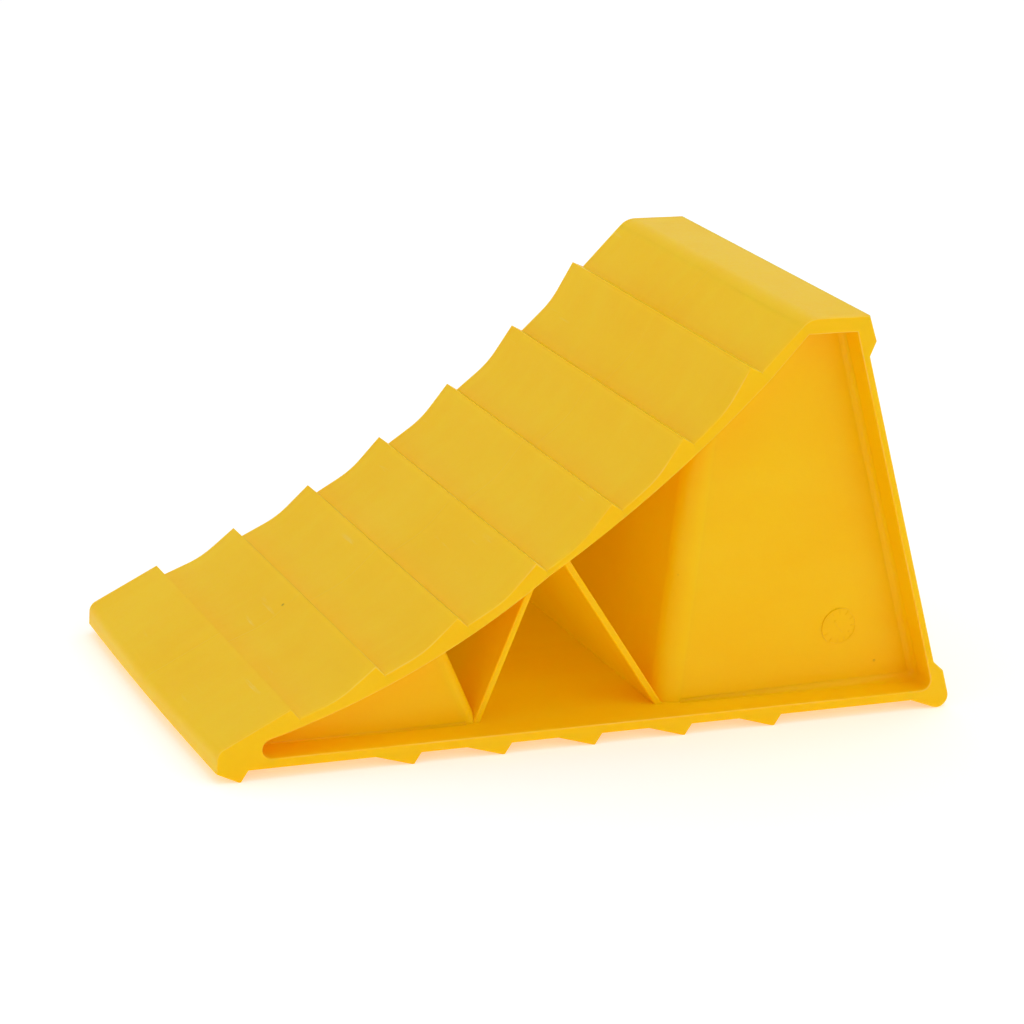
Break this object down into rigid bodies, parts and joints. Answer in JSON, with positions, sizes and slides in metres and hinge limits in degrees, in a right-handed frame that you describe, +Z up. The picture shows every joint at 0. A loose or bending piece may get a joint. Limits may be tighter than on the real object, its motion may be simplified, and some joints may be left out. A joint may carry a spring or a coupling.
{
  "type": "wheel chock",
  "caption": "Moulded plastic wheel chock: a curved, stepped ramp over a ribbed hollow body, with teeth under the base to grip the ground.",
  "frame": {"origin": "on the ground under the centre of the chock's footprint", "axes": "+X from the toe to the heel, +Y across the chock towards its far side, +Z up"},
  "size_m": [0.203, 0.108, 0.108],
  "materials": {
    "yellow_plastic": "satin moulded, coloured through"
  },
  "bodies": {
    "root": {"toe_nose": "yellow_plastic", "tread_1": "yellow_plastic", "tread_2": "yellow_plastic", "tread_3": "yellow_plastic", "tread_4": "yellow_plastic", "tread_5": "yellow_plastic", "tread_6": "yellow_plastic", "crest_face": "yellow_plastic", "crest_top": "yellow_plastic", "heel_lip": "yellow_plastic", "heel_wall": "yellow_plastic", "heel_foot": "yellow_plastic", "base_plate": "yellow_plastic", "ground_tooth_1": "yellow_plastic", "ground_tooth_2": "yellow_plastic", "ground_tooth_3": "yellow_plastic", "ground_tooth_4": "yellow_plastic", "ground_tooth_5": "yellow_plastic", "toe_web": "yellow_plastic", "centre_web": "yellow_plastic", "heel_web": "yellow_plastic", "toe_return_wall": "yellow_plastic", "heel_return_wall": "yellow_plastic", "front_rib": "yellow_plastic", "rear_rib": "yellow_plastic", "heel_diagonal_rib": "yellow_plastic", "heel_upright_rib": "yellow_plastic", "date_dial": "yellow_plastic"}
  },
  "joints": []
}
